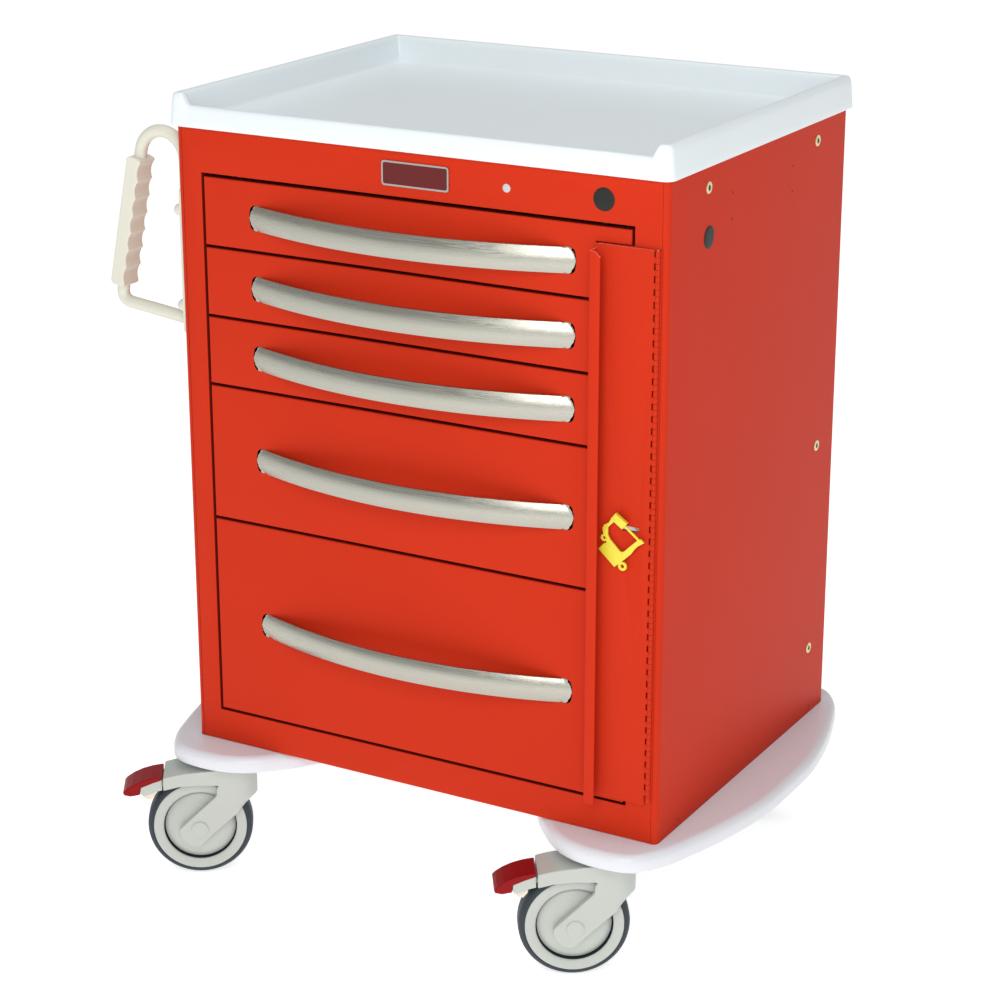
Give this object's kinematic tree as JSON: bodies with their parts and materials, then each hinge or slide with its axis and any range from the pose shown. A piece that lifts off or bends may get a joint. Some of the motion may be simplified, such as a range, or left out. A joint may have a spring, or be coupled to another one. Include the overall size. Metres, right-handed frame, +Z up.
{
  "type": "crash cart",
  "caption": "Steel drawer cabinet on swivel casters with a tray top, a side push handle, a hinged lock bar and a plastic seal.",
  "frame": {"origin": "middle of the cart's outline on the floor", "axes": "+Z up, the drawers face -Y, +X to the right seen from the front"},
  "size_m": [0.7354, 0.5632, 0.885],
  "materials": {
    "red_paint": "smooth semi-gloss powder coat, orange red",
    "tray_plastic": "smooth moulded bluish white plastic",
    "base_plastic": "smooth moulded white plastic",
    "zinc_steel": "bright zinc-plated sheet steel",
    "grey_paint": "light grey powder coat",
    "satin_aluminium": "satin anodised, brushed along the strip",
    "handle_paint": "off-white powder coat",
    "grip_plastic": "off-white moulded plastic",
    "caster_plastic": "light grey moulded plastic",
    "tyre_rubber": "dark grey non-marking rubber",
    "plain_steel": "plain bright steel",
    "pedal_plastic": "red moulded plastic",
    "seal_plastic": "yellow moulded plastic",
    "badge_plate": "blank maroon plate with a silver edge"
  },
  "bodies": {
    "cabinet": {"cabinet_shell": "red_paint", "face_frame": "red_paint", "top_tray": "tray_plastic", "base_bumper": "base_plastic", "base_plate": "zinc_steel", "slide_rails_left": "zinc_steel", "slide_rails_right": "zinc_steel", "hinge_leaf": "red_paint", "hinge_pin": "plain_steel", "handle_tube": "handle_paint", "handle_grip": "grip_plastic", "badge": "badge_plate"},
    "drawer_1": {"drawer_1_front": "red_paint", "drawer_1_box": "grey_paint", "drawer_1_pull": "satin_aluminium"},
    "slide_mid_1": {"slide_mid_left_1": "zinc_steel", "slide_mid_right_1": "zinc_steel"},
    "drawer_2": {"drawer_2_front": "red_paint", "drawer_2_box": "grey_paint", "drawer_2_pull": "satin_aluminium"},
    "slide_mid_2": {"slide_mid_left_2": "zinc_steel", "slide_mid_right_2": "zinc_steel"},
    "drawer_3": {"drawer_3_front": "red_paint", "drawer_3_box": "grey_paint", "drawer_3_pull": "satin_aluminium"},
    "slide_mid_3": {"slide_mid_left_3": "zinc_steel", "slide_mid_right_3": "zinc_steel"},
    "drawer_4": {"drawer_4_front": "red_paint", "drawer_4_box": "grey_paint", "drawer_4_pull": "satin_aluminium"},
    "slide_mid_4": {"slide_mid_left_4": "zinc_steel", "slide_mid_right_4": "zinc_steel"},
    "drawer_5": {"drawer_5_front": "red_paint", "drawer_5_box": "grey_paint", "drawer_5_pull": "satin_aluminium"},
    "slide_mid_5": {"slide_mid_left_5": "zinc_steel", "slide_mid_right_5": "zinc_steel"},
    "lock_bar": {"lock_bar": "red_paint", "seal_staple": "plain_steel"},
    "security_seal": {"security_seal": "seal_plastic"},
    "caster_front_left": {"caster_front_left_fork": "caster_plastic", "caster_front_left_axle": "plain_steel"},
    "wheel_front_left": {"caster_front_left_wheel": "caster_plastic", "caster_front_left_tyre": "tyre_rubber"},
    "pedal_front_left": {"caster_front_left_pedal": "pedal_plastic"},
    "caster_front_right": {"caster_front_right_fork": "caster_plastic", "caster_front_right_axle": "plain_steel"},
    "wheel_front_right": {"caster_front_right_wheel": "caster_plastic", "caster_front_right_tyre": "tyre_rubber"},
    "pedal_front_right": {"caster_front_right_pedal": "pedal_plastic"},
    "caster_rear_left": {"caster_rear_left_fork": "caster_plastic", "caster_rear_left_axle": "plain_steel"},
    "wheel_rear_left": {"caster_rear_left_wheel": "caster_plastic", "caster_rear_left_tyre": "tyre_rubber"},
    "pedal_rear_left": {"caster_rear_left_pedal": "pedal_plastic"},
    "caster_rear_right": {"caster_rear_right_fork": "caster_plastic", "caster_rear_right_axle": "plain_steel"},
    "wheel_rear_right": {"caster_rear_right_wheel": "caster_plastic", "caster_rear_right_tyre": "tyre_rubber"},
    "pedal_rear_right": {"caster_rear_right_pedal": "pedal_plastic"}
  },
  "joints": [
    {"name": "drawer_1_slide", "type": "slide", "parent": "cabinet", "child": "drawer_1", "axis": [0, -1, 0], "range_m": [0, 0.37]},
    {"name": "slide_mid_1_slide", "type": "slide", "parent": "cabinet", "child": "slide_mid_1", "axis": [0, -1, 0], "range_m": [0, 0.185]},
    {"name": "drawer_2_slide", "type": "slide", "parent": "cabinet", "child": "drawer_2", "axis": [0, -1, 0], "range_m": [0, 0.37]},
    {"name": "slide_mid_2_slide", "type": "slide", "parent": "cabinet", "child": "slide_mid_2", "axis": [0, -1, 0], "range_m": [0, 0.185]},
    {"name": "drawer_3_slide", "type": "slide", "parent": "cabinet", "child": "drawer_3", "axis": [0, -1, 0], "range_m": [0, 0.37]},
    {"name": "slide_mid_3_slide", "type": "slide", "parent": "cabinet", "child": "slide_mid_3", "axis": [0, -1, 0], "range_m": [0, 0.185]},
    {"name": "drawer_4_slide", "type": "slide", "parent": "cabinet", "child": "drawer_4", "axis": [0, -1, 0], "range_m": [0, 0.37]},
    {"name": "slide_mid_4_slide", "type": "slide", "parent": "cabinet", "child": "slide_mid_4", "axis": [0, -1, 0], "range_m": [0, 0.185]},
    {"name": "drawer_5_slide", "type": "slide", "parent": "cabinet", "child": "drawer_5", "axis": [0, -1, 0], "range_m": [0, 0.37]},
    {"name": "slide_mid_5_slide", "type": "slide", "parent": "cabinet", "child": "slide_mid_5", "axis": [0, -1, 0], "range_m": [0, 0.185]},
    {"name": "lock_bar_hinge", "type": "hinge", "parent": "cabinet", "child": "lock_bar", "pos_m": [0.30195, -0.2023, 0.4935], "axis": [0, 0, 1], "range_deg": [0, 135]},
    {"name": "security_seal_swing", "type": "hinge", "parent": "lock_bar", "child": "security_seal", "pos_m": [0.27915, -0.2076, 0.4973], "axis": [0, -1, 0], "range_deg": [-5, 5]},
    {"name": "swivel_front_left", "type": "hinge", "parent": "cabinet", "child": "caster_front_left", "pos_m": [-0.21555, -0.1946, 0.106], "axis": [0, 0, 1], "continuous": true},
    {"name": "roll_front_left", "type": "hinge", "parent": "caster_front_left", "child": "wheel_front_left", "pos_m": [-0.25219, -0.2184, 0.059], "axis": [0.5446, -0.8387, 0], "continuous": true},
    {"name": "pedal_front_left_press", "type": "hinge", "parent": "caster_front_left", "child": "pedal_front_left", "pos_m": [-0.28264, -0.23817, 0.113], "axis": [0.5446, -0.8387, 0], "range_deg": [0, 8]},
    {"name": "swivel_front_right", "type": "hinge", "parent": "cabinet", "child": "caster_front_right", "pos_m": [0.26285, -0.1946, 0.106], "axis": [0, 0, 1], "continuous": true},
    {"name": "roll_front_right", "type": "hinge", "parent": "caster_front_right", "child": "wheel_front_right", "pos_m": [0.22621, -0.2184, 0.059], "axis": [0.5446, -0.8387, 0], "continuous": true},
    {"name": "pedal_front_right_press", "type": "hinge", "parent": "caster_front_right", "child": "pedal_front_right", "pos_m": [0.19576, -0.23817, 0.113], "axis": [0.5446, -0.8387, 0], "range_deg": [0, 8]},
    {"name": "swivel_rear_left", "type": "hinge", "parent": "cabinet", "child": "caster_rear_left", "pos_m": [-0.21555, 0.2344, 0.106], "axis": [0, 0, 1], "continuous": true},
    {"name": "roll_rear_left", "type": "hinge", "parent": "caster_rear_left", "child": "wheel_rear_left", "pos_m": [-0.25219, 0.2106, 0.059], "axis": [0.5446, -0.8387, 0], "continuous": true},
    {"name": "pedal_rear_left_press", "type": "hinge", "parent": "caster_rear_left", "child": "pedal_rear_left", "pos_m": [-0.28264, 0.19083, 0.113], "axis": [0.5446, -0.8387, 0], "range_deg": [0, 8]},
    {"name": "swivel_rear_right", "type": "hinge", "parent": "cabinet", "child": "caster_rear_right", "pos_m": [0.26285, 0.2344, 0.106], "axis": [0, 0, 1], "continuous": true},
    {"name": "roll_rear_right", "type": "hinge", "parent": "caster_rear_right", "child": "wheel_rear_right", "pos_m": [0.22621, 0.2106, 0.059], "axis": [0.5446, -0.8387, 0], "continuous": true},
    {"name": "pedal_rear_right_press", "type": "hinge", "parent": "caster_rear_right", "child": "pedal_rear_right", "pos_m": [0.19576, 0.19083, 0.113], "axis": [0.5446, -0.8387, 0], "range_deg": [0, 8]}
  ],
  "couplings": [
    {"joint": "slide_mid_1_slide", "follows": "drawer_1_slide", "ratio": 0.5},
    {"joint": "slide_mid_2_slide", "follows": "drawer_2_slide", "ratio": 0.5},
    {"joint": "slide_mid_3_slide", "follows": "drawer_3_slide", "ratio": 0.5},
    {"joint": "slide_mid_4_slide", "follows": "drawer_4_slide", "ratio": 0.5},
    {"joint": "slide_mid_5_slide", "follows": "drawer_5_slide", "ratio": 0.5}
  ]
}
